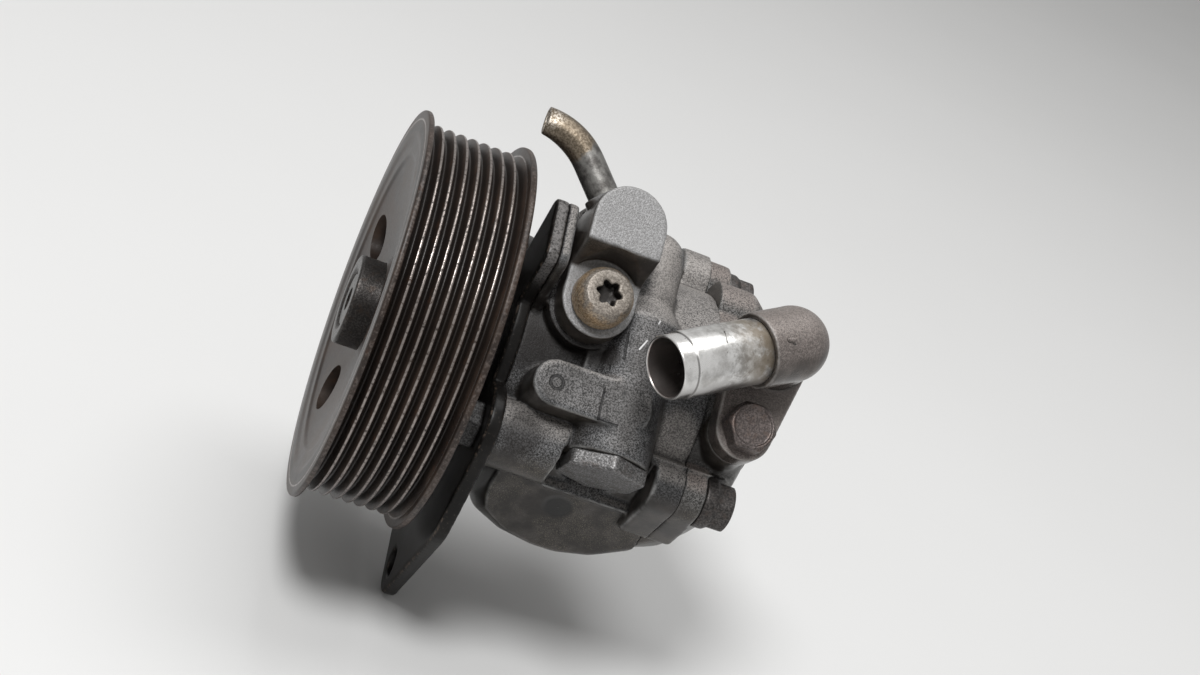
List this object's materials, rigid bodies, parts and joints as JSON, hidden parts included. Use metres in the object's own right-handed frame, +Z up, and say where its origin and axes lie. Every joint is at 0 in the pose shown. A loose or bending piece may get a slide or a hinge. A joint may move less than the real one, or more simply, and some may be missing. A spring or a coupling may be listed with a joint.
{
  "type": "power steering pump",
  "caption": "Belt-driven vane pump with a ribbed pulley, cast housing with mounting plate, bolted pressure union with a cut pipe, and an angled suction tube.",
  "frame": {"origin": "on the shaft axis in the middle plane of the belt", "axes": "+X along the shaft from the pulley to the rear cover, +Z up with the mounting ear below, +Y to the side away from the ports"},
  "size_m": [0.1266, 0.1193, 0.156],
  "materials": {
    "pulley_paint": "worn black over brown steel, oily",
    "hub_steel": "blackened, dull",
    "shaft_steel": "ground",
    "spring_steel": "dark oiled",
    "bearing_steel": "polished",
    "bronze": "machined",
    "rubber": "matt black",
    "plate_paint": "glossy black",
    "fastener_steel": "dark, sooty",
    "cast_housing": "cast, sooty grey",
    "cast_cover": "cast, sooty grey",
    "sintered_steel": "ground",
    "vane_steel": "ground",
    "plug_steel": "dark, sooty",
    "cast_union": "cast, grey",
    "rusty_bolt": "rusty brown",
    "pipe_steel": "dull, yellowed near the cut",
    "cast_elbow": "cast, dull",
    "bright_tube": "drawn, bright"
  },
  "bodies": {
    "housing": {"bearing_outer_race": "bearing_steel", "bearing_circlip": "spring_steel", "shaft_seal": "rubber", "mounting_plate": "plate_paint", "plate_screws": "fastener_steel", "pump_housing": "cast_housing", "rear_cover": "cast_cover", "cover_bolts": "fastener_steel", "cover_o_ring": "rubber", "plate_spring": "spring_steel", "front_side_plate": "sintered_steel", "cam_ring": "sintered_steel", "rear_side_plate": "sintered_steel", "plate_dowels": "bearing_steel", "rear_bush": "bronze", "valve_spring": "spring_steel", "valve_plug": "plug_steel", "plug_o_ring": "rubber", "pressure_union": "cast_union", "union_o_ring": "rubber", "union_bolt": "rusty_bolt", "pressure_pipe": "pipe_steel", "suction_elbow": "cast_elbow", "suction_tube": "bright_tube", "suction_o_ring": "rubber", "elbow_bolt": "fastener_steel"},
    "shaft": {"pulley": "pulley_paint", "pulley_hub": "hub_steel", "drive_shaft": "shaft_steel", "shaft_snap_ring": "spring_steel", "bearing_inner_race": "bearing_steel", "rotor": "sintered_steel"},
    "ball_set": {"bearing_balls": "bearing_steel", "bearing_cage": "bronze"},
    "spool": {"valve_spool": "bearing_steel"},
    "vane_1": {"vane_1": "vane_steel"},
    "vane_2": {"vane_2": "vane_steel"},
    "vane_3": {"vane_3": "vane_steel"},
    "vane_4": {"vane_4": "vane_steel"},
    "vane_5": {"vane_5": "vane_steel"},
    "vane_6": {"vane_6": "vane_steel"},
    "vane_7": {"vane_7": "vane_steel"},
    "vane_8": {"vane_8": "vane_steel"},
    "vane_9": {"vane_9": "vane_steel"},
    "vane_10": {"vane_10": "vane_steel"}
  },
  "joints": [
    {"name": "shaft_spin", "type": "hinge", "parent": "housing", "child": "shaft", "pos_m": [0, 0, 0], "axis": [1, 0, 0], "continuous": true},
    {"name": "ball_set_roll", "type": "hinge", "parent": "housing", "child": "ball_set", "pos_m": [0, 0, 0], "axis": [1, 0, 0], "continuous": true},
    {"name": "spool_slide", "type": "slide", "parent": "housing", "child": "spool", "axis": [0, -0.7071, -0.7071], "range_m": [0, 0.006], "stiffness_N_per_m": 4000, "springref_m": -0.003, "deforming": ["valve_spring"]},
    {"name": "vane_1_slide", "type": "slide", "parent": "shaft", "child": "vane_1", "axis": [0, 0.809, 0.5878], "range_m": [-0.0014, 0]},
    {"name": "vane_2_slide", "type": "slide", "parent": "shaft", "child": "vane_2", "axis": [0, 0.309, 0.9511], "range_m": [-0.0014, 0]},
    {"name": "vane_3_slide", "type": "slide", "parent": "shaft", "child": "vane_3", "axis": [0, -0.309, 0.9511], "range_m": [-0.0014, 0]},
    {"name": "vane_4_slide", "type": "slide", "parent": "shaft", "child": "vane_4", "axis": [0, -0.809, 0.5878], "range_m": [-0.0014, 0]},
    {"name": "vane_5_slide", "type": "slide", "parent": "shaft", "child": "vane_5", "axis": [0, -1, 0], "range_m": [-0.0014, 0]},
    {"name": "vane_6_slide", "type": "slide", "parent": "shaft", "child": "vane_6", "axis": [0, -0.809, -0.5878], "range_m": [-0.0014, 0]},
    {"name": "vane_7_slide", "type": "slide", "parent": "shaft", "child": "vane_7", "axis": [0, -0.309, -0.9511], "range_m": [-0.0014, 0]},
    {"name": "vane_8_slide", "type": "slide", "parent": "shaft", "child": "vane_8", "axis": [0, 0.309, -0.9511], "range_m": [-0.0014, 0]},
    {"name": "vane_9_slide", "type": "slide", "parent": "shaft", "child": "vane_9", "axis": [0, 0.809, -0.5878], "range_m": [-0.0014, 0]},
    {"name": "vane_10_slide", "type": "slide", "parent": "shaft", "child": "vane_10", "axis": [0, 1, 0], "range_m": [-0.0014, 0]}
  ],
  "couplings": [
    {"joint": "ball_set_roll", "follows": "shaft_spin", "ratio": 0.38158}
  ]
}
